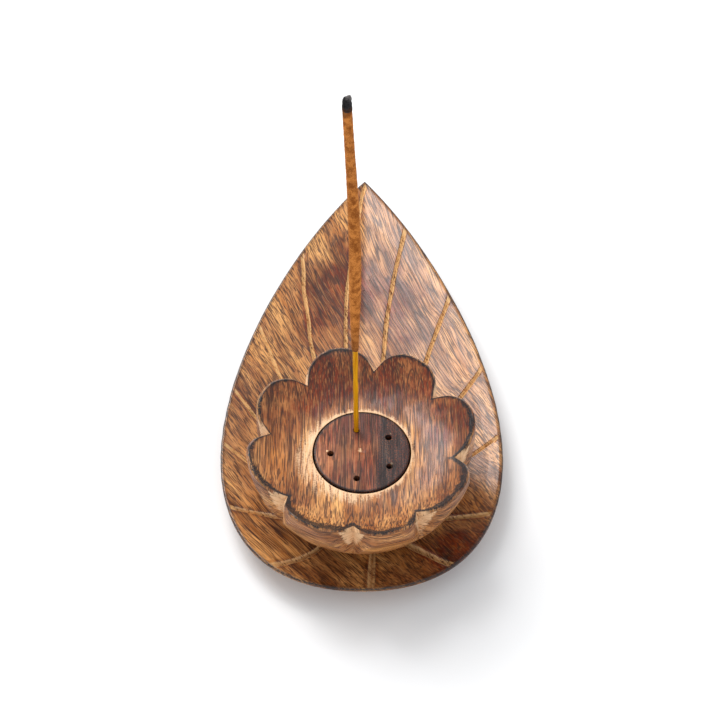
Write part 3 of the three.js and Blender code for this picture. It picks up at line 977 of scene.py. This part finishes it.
@dataclass
class LotusBowl:
    """The bowl: a round body, a shallow hollow and eight petals parted by V-shaped cuts."""

    height: float
    radius: float = 34.0
    foot_radius: float = 12.0
    notch_depth: float = 6.7
    notch_slant: float = 0.06
    fullness: float = 2.4
    dish_depth: float = 6.9
    dish_curve: float = 2.47
    crown: float = 0.3
    recess_radius: float = 14.4
    recess_floor: float = 15.3
    pilot_radius: float = 2.05
    pilot_depth: float = 10.9
    bevel_width: float = 0.85
    bevel_drop: float = 0.4
    notch_bevel: float = 0.5
    notch_drop: float = 0.9
    notches: tuple[float, ...] = (-190, -141, -95, -55.5, -7.5, 40, 82.5, 126)
    petal_columns: int = 48

    def wall(self, height: Array) -> Array:
        """Outside radius at a height above the foot."""
        belly = self.height / math.sqrt(1 - (self.foot_radius / self.radius) ** 2)
        return self.radius * np.sqrt(1 - ((self.height - height) / belly) ** 2)

    def dish(self, radius: Array) -> Array:
        """Height of the hollow's surface.

        Args:
            radius: distances from the bowl's axis.

        Returns:
            One height for each distance.
        """
        reach = self.radius - self.bevel_width - self.recess_radius
        climb = np.clip((radius - self.recess_radius) / reach, 0, None)
        return self.height - self.dish_depth + (self.dish_depth + self.crown) * climb**self.dish_curve

    def columns(self) -> tuple[Array, Array]:
        """Spread the columns evenly over each petal.

        Returns:
            Direction of each column in radians and its place across its petal, -1 to 1.
        """
        share = np.arange(self.petal_columns) / self.petal_columns
        angle, across = [], []
        for i, here in enumerate(self.notches):
            ahead = self.notches[i + 1] if i + 1 < len(self.notches) else self.notches[0] + 360
            angle.append(np.radians(here + (ahead - here) * share))
            across.append(2 * share - 1)
        return np.concatenate(angle), np.concatenate(across)

    def cut_foot(self, edge: Array, top: Array) -> Array:
        """Height at which each column's cut runs out on the round wall.

        Args:
            edge: radius of the petals' edge.
            top: height of that edge.

        Returns:
            One height for each column.
        """
        levels = np.linspace(0, 1, 600)[:, None] * top[None, :]
        inside = self.wall(levels) > edge + self.notch_slant * (top - levels)
        first = np.argmax(inside, axis=0)
        return np.where(inside.any(axis=0), levels[first, np.arange(edge.size)], top)

    def rows(self, edge: Array, notch: Array) -> tuple[Array, Array, list[Zone]]:
        """Lay out the section of the bowl at every column.

        Args:
            edge: radius of the petals' edge.
            notch: 1 at a notch, 0 away from it.

        Returns:
            Radius and height of each point by row and column, and the zone of each row.
        """
        flat = np.zeros(edge.shape)
        recess = flat + self.recess_radius
        ridge = edge - self.bevel_width - self.notch_bevel * notch
        drop = self.bevel_drop + self.notch_drop * notch
        top = self.dish(ridge) - drop
        rows = [(flat, flat + self.recess_floor, Zone.RECESS)]
        rows.append((recess * 0.5, flat + self.recess_floor, Zone.RECESS))
        rows.append((recess, flat + self.recess_floor, Zone.RECESS))
        rows.append((recess, self.dish(recess) - 0.25, Zone.RECESS))
        for share in np.linspace(0.01, 1, 52):
            spot = recess + (ridge - recess) * share
            rows.append((spot, self.dish(spot), Zone.HOLLOW))
        for share in (0.15, 0.4, 0.7, 0.92):
            rows.append((ridge + (edge - ridge) * share, self.dish(ridge) - drop * share**1.4, Zone.BEVEL))
        low = np.minimum(self.cut_foot(edge, top), top - 0.1)
        for share in np.linspace(0.0, 1, 22):
            level = top - 0.08 - (top - 0.08 - low) * share
            spot = np.minimum(self.wall(level), edge + self.notch_slant * (top - level))
            rows.append((spot, level, Zone.CUT))
        for share in np.linspace(0.03, 1, 34):
            rows.append((self.wall(low * (1 - share)), low * (1 - share), Zone.WALL))
        for spot in (9.0, 5.0, self.pilot_radius):
            rows.append((flat + spot, flat, Zone.FOOT))
        rows.append((flat + self.pilot_radius, flat + self.pilot_depth, Zone.FOOT))
        rows.append((flat, flat + self.pilot_depth, Zone.FOOT))
        radii, heights, zones = zip(*rows)
        return np.stack(radii), np.stack(heights), list(zones)

    def burn_and_shadow(self, x: Array, y: Array, radius: Array) -> Array:
        """How dark each place of the hollow is made: a ring out towards the petals, darkest on the back
        petals and lighter on the left and front petals.

        Args:
            x: across the bowl.
            y: along the bowl.
            radius: distance from the bowl's axis.

        Returns:
            The darkening, 0 to 1.
        """
        ring = smooth_step(15.0, 22.0, radius + 1.6 * Ripple(16, seed=31).at(x, y) + 0.05 * y)
        total = ring * (0.52 + 0.43 * smooth_step(-12, 18, y))
        total -= 0.5 * np.exp(-(((x + 26) / 9) ** 2) - ((y + 2) / 16) ** 2)
        total -= 0.5 * np.exp(-((x / 18) ** 2) - ((y + 26) / 8) ** 2)
        return np.clip(total, 0, 1)

    def char(self, x: Array, y: Array, way: Array, from_ridge: Array, zone: Array) -> Array:
        """How black each place is: a ragged line on the ridge, widest on the front petals.

        Args:
            x: across the bowl.
            y: along the bowl.
            way: direction in degrees.
            from_ridge: distance inwards from the ridge of the rim.
            zone: number of each row's zone.

        Returns:
            The char, 0 to 1.
        """
        ragged = 0.3 * Ripple(4.0, seed=53).at(x, y) + 0.22 * Ripple(1.6, seed=54, waves=24).at(x, y)
        front = np.exp(-(((way + 118) / 42) ** 2)) + 0.6 * np.exp(-(((way + 25) / 40) ** 2))
        width = 0.2 + 2.0 * front + ragged * (0.5 + 1.6 * front)
        hollow = smooth_step(width + 0.6, width - 0.2, from_ridge)
        bevel = 0.3 + 0.6 * smooth_step(-0.6, 0.0, from_ridge + 0.6 * ragged)
        black = np.where(zone == Zone.HOLLOW.value, hollow, 0.0)
        black = np.where(zone == Zone.BEVEL.value, bevel, black)
        return np.where(zone == Zone.RECESS.value, 0.9, black)

    def skin(self, axis: Vector) -> Skin:
        """Make the bowl's surface.

        Args:
            axis: the middle of the bowl's foot, in mm.

        Returns:
            The surface, from the middle of the recess out over the rim and down to the foot.
        """
        angle, across = self.columns()
        cut_in = self.notch_depth - self.notch_bevel - self.bevel_width
        edge = self.radius - cut_in * np.abs(across) ** self.fullness
        edge = edge + 0.25 * Ripple(11.0, seed=41).at(np.cos(angle) * 30, np.sin(angle) * 30)
        side = np.abs(across)
        notch = smooth_step(0.7, 1.0, side)
        radius, height, zones = self.rows(edge, notch)
        zone = np.array([each.value for each in zones])[:, None]
        x, y = radius * np.cos(angle), radius * np.sin(angle)
        hand = 0.1 * Ripple(11.0, seed=51).at(x, y, height) + 0.03 * Ripple(3.5, seed=52).at(x, y, height)
        carved = (zone >= Zone.BEVEL.value) & (zone < Zone.FOOT.value)
        swell = np.where(carved, 1 + hand / np.maximum(radius, 1), 1.0)
        height = height + np.where(zone == Zone.HOLLOW.value, hand * 0.7 * smooth_step(14.4, 16, radius), 0)
        x, y = x * swell, y * swell

        way = np.degrees(angle)[None, :] * np.ones_like(radius)
        ridge = (edge - self.bevel_width - self.notch_bevel * notch)[None, :]
        drop = self.dish(ridge) - height
        # Raw wood shows in a triangle below each cut, on the worn bevel and in a ring round the disc.
        spread = 0.9 - 0.028 * np.clip(8 - drop, 0, 8)
        cut = smooth_step(spread - 0.1, spread + 0.1, side[None, :]) * (1 - 0.6 * smooth_step(1, 10, drop))
        bevel = 0.3 + 0.7 * smooth_step(0.75, 0.85, side)[None, :]
        reach = 2.6 + 7.0 * np.clip(np.cos(np.radians(way + 150)), 0, 1)
        ring = 0.78 * np.clip(1 - (radius - self.recess_radius) / reach, 0, 1)
        ring = np.maximum(ring, smooth_step(0.9, 0.4, radius - self.recess_radius))
        fresh = np.where(zone == Zone.HOLLOW.value, ring, 0.0)
        fresh = np.where(zone == Zone.BEVEL.value, bevel, fresh)
        fresh = np.where(zone == Zone.CUT.value, cut, fresh)
        char = self.char(x, y, way, ridge - radius, zone)
        at_notch = (zone == Zone.BEVEL.value) * smooth_step(0.78, 0.9, side)[None, :]
        # The grain runs along the bowl inside, and is taken round it outside.
        inside = np.stack([x + 0.12 * height, y, height * 0.3 + 0.1 * x], -1)
        outside = np.stack([height * 1.1 + 0.08 * x, np.radians(way) * self.radius, radius * 0.25], -1)
        wall_burn = 0.3 * smooth_step(7, 0, drop)
        values = {
            "grain": np.where((zone >= Zone.CUT.value)[..., None], outside, inside),
            "burn_and_shadow": np.where(zone <= Zone.HOLLOW.value, self.burn_and_shadow(x, y, radius), wall_burn),
            "fresh": fresh,
            "char": char * (1 - 0.9 * at_notch),
            "polish": np.where(zone <= Zone.BEVEL.value, 1.0, 0.15) * np.ones_like(radius),
        }
        return Skin("lotus_bowl_body", np.dstack([x, y, height]) + np.array(axis), values)

    def build(self, axis: Vector) -> bpy.types.Object:
        """Turn and carve the bowl on the middle of its foot, given in mm, and dress it."""
        # Turned, then carved: the grain runs straight through the hollow, scorched towards the petals.
        wood = TorchedMango("mango_wood_turned_carved_torched", tan="#CE8E52", brown="#A8662E")
        return self.skin(axis).build(wood.material(), Body.BURNER, "lotus_bowl", Slot.BOWL)


# ---- Disc ------------------------------------------------------------------------------------
@dataclass
class StickDisc:
    """The drilled disc in the bowl."""

    radius: float = 14.1
    thickness: float = 8.0
    edge: float = 0.45
    hole_radius: float = 0.88
    holes: tuple[tuple[float, float], ...] = ((102, 6.2), (32.5, 4.8), (-33, 4.5), (-99, 4.5), (184.5, 4.9))
    chips: tuple[tuple[float, float, float], ...] = ((8.9, -4.3, 0.8), (-10.2, 0.2, 0.6), (8.6, 6.4, 0.5))
    columns: int = 192

    def hole_spots(self) -> list[tuple[float, float]]:
        """Plan place of each hole, from its direction and its distance in from the disc's edge.

        Returns:
            An x and a y for each hole, in mm from the disc's axis.
        """
        spots = []
        for way, inset in self.holes:
            angle = math.radians(way)
            spots.append(((self.radius - inset) * math.cos(angle), (self.radius - inset) * math.sin(angle)))
        return spots

    def build(self, axis: Vector) -> bpy.types.Object:
        """Turn the disc, drill it and dress it.

        Args:
            axis: the middle of its underside, in mm.

        Returns:
            The disc.
        """
        profile = [(0.0, 0.0), (self.radius - 0.2, 0.0), (self.radius, 0.2)]
        profile += [(self.radius, level) for level in np.linspace(1, self.thickness - 0.5, 5)]
        profile += [
            (self.radius - self.edge * (1 - math.cos(a)), self.thickness - self.edge * (1 - math.sin(a)))
            for a in np.linspace(0.2, math.pi / 2, 6)
        ]
        profile += [(spot, self.thickness) for spot in np.linspace(self.radius - 0.9, 1.2, 30)]
        profile += [(0.8, self.thickness - 0.12), (0.4, self.thickness - 0.28), (0.0, self.thickness - 0.32)]
        angle = np.arange(self.columns) / self.columns * TURN
        radius = np.array([p[0] for p in profile])[:, None]
        level = np.array([p[1] for p in profile])[:, None] * np.ones_like(angle)
        x, y = radius * np.cos(angle), radius * np.sin(angle)
        level = level + np.where(level > self.thickness - 0.05, 0.04 * Ripple(6, seed=61).at(x, y), 0)
        blank = Skin("stick_disc_turned", np.dstack([x, y, level]) + np.array(axis), {})
        disc = bpy.data.objects.new(blank.name, blank.mesh())
        bpy.context.scene.collection.objects.link(disc)
        weld(disc.data)
        for px, py in self.hole_spots():
            cut_away(disc, self.bit(px + axis.x, py + axis.y, axis.z))
        co = np.zeros(len(disc.data.vertices) * 3)
        disc.data.vertices.foreach_get("co", co)
        self.values(disc.data, co.reshape(-1, 3) / MM - np.array(axis))
        # Scorched all over after turning and waxed thinly, so it is the darkest and least glossy wood.
        wood = TorchedMango(
            "mango_wood_turned_scorched_dark",
            gold="#E8A468",
            tan="#D48C54",
            scorch_and_shadow_tint="#A0663E",
            roughness=0.5,
            wax=0.15,
            even_wax=True,
        )
        return settle(disc, wood.material(), Body.BURNER, "stick_disc", Slot.DISC)

    def bit(self, x: float, y: float, z: float) -> Skin:
        """Shape of one hole with a slightly broken edge.

        Args:
            x: the hole's place across.
            y: the hole's place along.
            z: height of the disc's underside.

        Returns:
            The closed shape to cut away.
        """
        angle = np.arange(32) / 32 * TURN
        top = z + self.thickness
        outline = [(0, z - 1), (self.hole_radius, z - 1), (self.hole_radius, top - 0.18)]
        outline += [(self.hole_radius + 0.4, top + 0.4), (0, top + 0.4)]
        rings = [[(x + r * math.cos(a), y + r * math.sin(a), h) for a in angle] for r, h in outline]
        return Skin("drill_bit", np.array(rings), {})

    def values(self, mesh: bpy.types.Mesh, co: Array) -> None:
        """Write the wood values on the drilled mesh.

        Args:
            mesh: the disc's mesh.
            co: its points, in mm from the middle of its underside.
        """
        x, y, z = co[:, 0], co[:, 1], co[:, 2]
        radius = np.hypot(x, y)
        near = np.min([np.hypot(x - px, y - py) for px, py in self.hole_spots()], axis=0)
        drift = x + 0.8 * Ripple(7, seed=71).at(x, y * 0.3)
        burn_and_shadow = 0.85 + 0.15 * smooth_step(-1, 5, drift + 0.3 * y)
        black = 0.85 * smooth_step(0.9, 0.3, self.radius - radius)
        frayed = drift + 0.5 * Ripple(1.3, seed=72).at(x, y * 0.12)
        black = np.maximum(black, 0.78 * smooth_step(2.8, 6.0, frayed))
        black = np.maximum(black, 0.45 * smooth_step(-3, 0, drift) * smooth_step(2, 7, y))
        black = np.maximum(black, 0.5 * smooth_step(self.hole_radius + 0.35, self.hole_radius, near))
        black = np.where(z < self.thickness - 0.6, 0.95, black)
        fresh = 0.8 * smooth_step(1.3, 0.2, np.hypot(x + 0.6, y - 0.5))
        for chip_x, chip_y, size in self.chips:
            fresh = np.maximum(fresh, 0.9 * smooth_step(size, 0.2, np.hypot(x - chip_x, y - chip_y)))
        grain = np.stack([x, y, z * 0.4], -1)
        write_values(mesh, {"grain": grain, "burn_and_shadow": burn_and_shadow, "fresh": fresh, "char": black})


# ---- Incense stick ---------------------------------------------------------------------------
@dataclass
class IncenseStick:
    """The incense stick: bamboo, paste, burnt tip and ash, standing on the recess floor."""

    foot: Vector
    axis: Vector
    length: float = 157.0
    core_radius: float = 0.75
    bare: float = 48.0
    paste_radius: float = 1.7
    paste_end_radius: float = 1.3
    paste_foot_radius: float = 1.02
    taper: float = 30.0
    char_length: float = 4.0
    ash_height: float = 1.0
    ash_shift: float = 0.45
    bend: float = 0.55
    sway: float = 0.6
    columns: int = 40

    def place(self, rings: Array) -> Array:
        """Move points from the stick's own upright frame into the burner's.

        Args:
            rings: points with their height above the stick's foot.

        Returns:
            The points, bent a little and leant.
        """
        height = rings[..., 2]
        bow = self.bend * np.sin(np.clip(height / self.length, 0, 1) * math.pi)
        upper = np.clip((height - self.bare) / (self.length - self.bare), 0, 1)
        bow = bow + self.sway * np.sin(upper * math.pi) ** 2
        tall = Vector((0, 0, 1)).rotation_difference(self.axis).to_matrix()
        turn = np.array([list(line) for line in tall])
        upright = np.stack([rings[..., 0] + bow, rings[..., 1], height], -1)
        return upright @ turn.T + np.array(self.foot)

    def tube(
        self,
        name: str,
        profile: list[tuple[float, float]],
        rough: float,
        grit: float,
        seed: int,
        stains: tuple[tuple[float, float], ...],
    ) -> Skin:
        """Make a round piece with an uneven surface.

        Args:
            name: the piece's name.
            profile: radius and height pairs, starting and ending on the axis.
            rough: depth of the unevenness.
            grit: its wavelength.
            seed: its random seed.
            stains: for each stain, the height where it is full and the height where it ends.

        Returns:
            The surface.
        """
        angle = np.arange(self.columns) / self.columns * TURN
        radius = np.array([p[0] for p in profile])[:, None]
        height = np.array([p[1] for p in profile])[:, None] * np.ones_like(angle)
        x, y = radius * np.cos(angle), radius * np.sin(angle)
        bumps = Ripple(grit, seed=seed, waves=24).at(x, y, height)
        bumps = bumps + 0.6 * Ripple(grit * 6, seed=seed + 1).at(x, y, height)
        scale = 1 + rough * bumps / np.maximum(radius, 0.4) * (radius > 0)
        ragged = height + 0.8 * Ripple(3.0, seed=seed + 2).at(x, y, height)
        stain = np.max([np.clip((ragged - none) / (full - none), 0, 1) for full, none in stains], axis=0)
        return Skin(name, self.place(np.dstack([x * scale, y * scale, height])), {"stain": stain})

    def core(self) -> Skin:
        """The bamboo splint.

        Returns:
            The surface.
        """
        top = self.length - self.ash_height - self.char_length / 2
        levels = np.concatenate([[0], np.linspace(0.1, top, 160)])
        profile = [(0.0, 0.0)] + [(self.core_radius, level) for level in levels[1:]] + [(0.0, top)]
        # The bamboo turns darker brown from its foot, fading out 16 mm up, inside the disc and the bowl's
        # hollow.
        return self.tube("stick_bamboo", profile, 0.03, 9.0, 81, ((-4.0, 16.0),))

    def paste(self) -> Skin:
        """The paste, thinner at its lower end and towards the tip.

        Returns:
            The surface.
        """
        top = self.length - self.ash_height - self.char_length - 0.1
        full, end, foot = self.paste_radius, self.paste_end_radius, self.paste_foot_radius
        bore = self.core_radius + 0.1
        profile = [(bore, self.bare + 0.6), (foot * 0.9, self.bare), (foot, self.bare + 0.3)]
        for level in np.linspace(self.bare + 0.6, top, 380):
            swell = float(smooth_step(self.bare - 3, self.bare + self.taper, np.array(level)))
            thin = float(smooth_step(self.bare + 34, top, np.array(level)))
            profile.append((foot + (full - foot) * swell - (full - end) * thin, level))
        profile += [(end * 0.9, top + 0.05), (bore, top + 0.05), (bore, self.bare + 0.6)]
        stains = ((self.bare - 8, self.bare + 12), (top + 0.8, top - 2.6))
        return self.tube("stick_paste", profile, 0.035, 0.7, 83, stains)

    def char(self) -> Skin:
        """The burnt tip.

        Returns:
            The surface.
        """
        top = self.length - self.ash_height - 0.1
        bottom = top - self.char_length
        end = self.paste_end_radius
        profile = [(0.0, bottom + 0.05), (end * 0.9, bottom)]
        for share in np.linspace(0.03, 1, 26):
            profile.append((end * (1.0 - 0.16 * share**2.5), bottom + self.char_length * share))
        profile += [(end * 0.6, top + 0.25), (0.0, top + 0.3)]
        return self.tube("stick_charred_tip", profile, 0.07, 0.8, 85, ((bottom - 0.4, bottom + 1.6),))

    def ash(self) -> Skin:
        """A flake of ash on the tip.

        Returns:
            The surface.
        """
        bottom = self.length - self.ash_height
        steps = ((0.0, -0.1), (0.75, 0.0), (0.85, 0.3), (0.7, 0.65), (0.35, 0.95), (0.0, 1.05))
        profile = [(radius, bottom + rise) for radius, rise in steps]
        skin = self.tube("stick_ash", profile, 0.14, 0.9, 87, ((bottom - 0.5, bottom + 0.6),))
        skin.rings[..., 0] += self.ash_shift
        return skin

    def build(self) -> list[bpy.types.Object]:
        """Make the stick's four pieces and dress them.

        Returns:
            The bamboo, the paste, the burnt tip and the ash.
        """
        # Rolled by hand and dried: dusty and sandy, with a soft bloom at the edges.
        paste = DryFinish("incense_paste_rolled_dried", "#C67C38", "#7E420C", "#4E2C14", 0.24, fuzz=0.3)
        # Burnt through: nearly black, with deeper cracks, brown where it meets the paste.
        char = DryFinish("incense_paste_burnt_to_char", "#323032", "#100F10", "#4E2C14", 0.5, relief_mm=0.2)
        # Left by the ember: pale grey crumbs over black.
        ash = DryFinish("incense_ash_flaked", "#86807E", "#343232", "#2A2626", 0.4, relief_mm=0.2)
        parts = (
            (self.core(), DyedBamboo(), "bamboo_core", Slot.BAMBOO),
            (self.paste(), paste, "incense_paste", Slot.PASTE),
            (self.char(), char, "charred_tip", Slot.CHAR),
            (self.ash(), ash, "ash_flake", Slot.ASH),
        )
        return [skin.build(finish.material(), Body.STICK, cad, slot) for skin, finish, cad, slot in parts]


# ---- Screw -----------------------------------------------------------------------------------
@dataclass
class BaseScrew:
    """The countersunk screw under the tray."""

    head_radius: float = 3.5
    shank_radius: float = 1.75
    head_height: float = 2.2
    length: float = 15.0
    pitch: float = 1.6
    slot_width: float = 1.1
    slot_depth: float = 0.9
    columns: int = 64

    def skin(self, foot: Vector) -> Skin:
        """Make the screw with its thread.

        Args:
            foot: the middle of the head's face, in mm.

        Returns:
            The surface, head down.
        """
        profile = [(0.0, 0.0), (self.head_radius - 0.25, 0.0), (self.head_radius, 0.12)]
        profile += [(self.head_radius, 0.3)]
        profile += [(self.shank_radius, self.head_height), (self.shank_radius, self.head_height + 1.2)]
        levels = np.linspace(self.head_height + 1.4, self.length - 0.1, 110)
        profile += [(self.shank_radius, level) for level in levels] + [(0.0, self.length)]
        angle = np.arange(self.columns) / self.columns * TURN
        radius = np.array([p[0] for p in profile])[:, None] * np.ones_like(angle)
        height = np.array([p[1] for p in profile])[:, None] * np.ones_like(angle)
        threaded = height > self.head_height + 1.3
        phase = (height / self.pitch - angle / TURN) % 1
        point = smooth_step(0, 4.5, self.length - height)
        crest = 1.2 + 0.5 * np.clip(1 - np.abs(phase - 0.5) * 5, 0, 1)
        radius = np.where(threaded & (radius > 0), crest * point, radius)
        x, y = radius * np.cos(angle), radius * np.sin(angle)
        return Skin("base_screw_rolled", np.dstack([x, y, height]) + np.array(foot), {})

    def slot(self, foot: Vector) -> Skin:
        """Shape of the slot across the head.

        Args:
            foot: the middle of the head's face, in mm.

        Returns:
            The closed shape to cut away.
        """
        half, reach = self.slot_width / 2, self.head_radius + 1
        corners = np.array([(-reach, -half), (reach, -half), (reach, half), (-reach, half)])
        rings = [[(*(corner * share), level) for corner in corners] for share, level in self.slot_rings()]
        return Skin("slot_blade", np.array(rings) + np.array(foot), {})

    def slot_rings(self) -> tuple[tuple[float, float], ...]:
        """Share of the slot's section and height for each ring of its shape."""
        return ((0.0, -1.0), (1.0, -1.0), (1.0, self.slot_depth), (0.0, self.slot_depth))

    def build(self, foot: Vector) -> bpy.types.Object:
        """Roll the screw, cut its slot and dress it.

        Args:
            foot: the middle of the head's face, in mm.

        Returns:
            The screw.
        """
        blank = self.skin(foot)
        screw = bpy.data.objects.new(blank.name, blank.mesh())
        bpy.context.scene.collection.objects.link(screw)
        weld(screw.data)
        cut_away(screw, self.slot(foot))
        return settle(screw, PlatedSteel().material(), Body.BURNER, "base_screw", Slot.SCREW)


# ---- Studio ----------------------------------------------------------------------------------
@dataclass(frozen=True)
class Softbox:
    """A square light: its place from the burner and its side in metres, its power in watts, its colour."""

    name: str
    place: tuple[float, float, float]
    size: float
    power: float
    colour: str


SOFTBOXES = (
    Softbox("softbox_back_left", (-0.4, 0.57, 0.87), 0.75, 9.0, "#FFFDFA"),
    Softbox("strip_back_left", (-0.26, 0.46, 0.9), 0.2, 1.5, "#F4F8FF"),
    Softbox("strip_left", (-0.5, 0.66, 0.72), 0.3, 1.7, "#FFFFFF"),
    Softbox("card_front", (0.25, -1.0, 0.6), 0.4, 1.7, "#FFFFFF"),
)


@dataclass
class Studio:
    """Pale floor, soft lights and the camera."""

    target: Vector
    distance: float = 0.9
    elevation: float = 53.89
    lens: float = 151.5
    sensor: float = 36.0
    far: float = 20.0
    floor_reach: float = 3.0
    sky: str = "#F6F8FB"
    sky_strength: float = 0.86

    def floor(self) -> None:
        """A sheet of pale paper under the burner."""
        mesh = bpy.data.meshes.new("floor")
        size = self.floor_reach
        corners = [(-size, -size, 0), (size, -size, 0), (size, size, 0), (-size, size, 0)]
        mesh.from_pydata(corners, [], [(0, 1, 2, 3)])
        floor = bpy.data.objects.new("floor", mesh)
        bpy.context.scene.collection.objects.link(floor)
        paper, tree = blank_material("backdrop_paper")
        finish_material(tree, {"Base Color": "#E6E6E6", "Roughness": 0.9, "Specular IOR Level": 0.1})
        mesh.materials.append(paper)

    def light(self, box: Softbox) -> None:
        """Hang a softbox so that it faces the burner.

        Args:
            box: the softbox.
        """
        data = bpy.data.lights.new(box.name, "AREA")
        data.size = box.size
        data.energy = box.power
        data.color = linear(box.colour)[:3]
        lamp = bpy.data.objects.new(box.name, data)
        lamp.location = self.target + Vector(box.place)
        lamp.rotation_euler = (self.target - lamp.location).to_track_quat("-Z", "Y").to_euler()
        bpy.context.scene.collection.objects.link(lamp)

    def build(self) -> None:
        """Set up the floor, the lights, the sky and the camera."""
        self.floor()
        for box in SOFTBOXES:
            self.light(box)
        world = bpy.data.worlds.new("studio")
        world.use_nodes = True
        world.node_tree.nodes["Background"].inputs["Color"].default_value = linear(self.sky)
        world.node_tree.nodes["Background"].inputs["Strength"].default_value = self.sky_strength
        scene = bpy.context.scene
        scene.world = world
        scene.view_settings.view_transform = "Standard"
        data = bpy.data.cameras.new("camera")
        data.lens = self.lens
        data.sensor_width = self.sensor
        data.clip_end = self.far
        camera = bpy.data.objects.new("camera", data)
        tilt = math.radians(self.elevation)
        camera.location = self.target + Vector((0, -math.cos(tilt), math.sin(tilt))) * self.distance
        camera.rotation_euler = (math.radians(90 - self.elevation), 0, 0)
        scene.collection.objects.link(camera)
        scene.camera = camera


AIM_ACROSS, AIM_ALONG = -0.54, 28.54  # mm from the bowl's axis to the point the camera looks at


def centre(node_name: str) -> Vector:
    """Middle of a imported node's box in plan, at its lowest height, in mm."""
    low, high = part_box(node_name)
    return Vector(((low.x + high.x) / 2, (low.y + high.y) / 2, low.z)) / MM


def main() -> None:
    """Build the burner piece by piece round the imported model."""
    logging.basicConfig(level=logging.INFO, format="%(message)s")
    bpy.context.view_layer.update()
    axis = centre("stick_disc")
    tray_low, tray_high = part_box("leaf_tray")
    bowl_low, bowl_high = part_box("lotus_bowl")
    aim = Vector((AIM_ACROSS * MM, axis.y * MM + AIM_ALONG * MM, bowl_high.z))
    Studio(target=aim).build()

    core_low, core_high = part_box("bamboo_core")
    lean = Vector(frame["joints"][0]["axis"]).normalized()
    core_middle = (core_low.y + core_high.y) / 2
    foot = Vector((core_high.x / MM - IncenseStick.core_radius, core_middle / MM, core_low.z / MM))

    tray = LeafTray(length=(tray_high.y - tray_low.y) / MM, setback=axis.y - tray_low.y / MM)
    bowl = LotusBowl(height=(bowl_high.z - bowl_low.z) / MM)
    pieces = [
        tray.build(Vector((0, axis.y, 0))),
        bowl.build(Vector((0, axis.y, bowl_low.z / MM))),
        StickDisc().build(axis),
        *IncenseStick(foot=foot, axis=lean).build(),
        BaseScrew().build(centre("base_screw")),
    ]
    for piece in pieces:
        log.info("%s: %d faces", piece.name, len(piece.data.polygons))


if __name__ == "__main__":
    main()
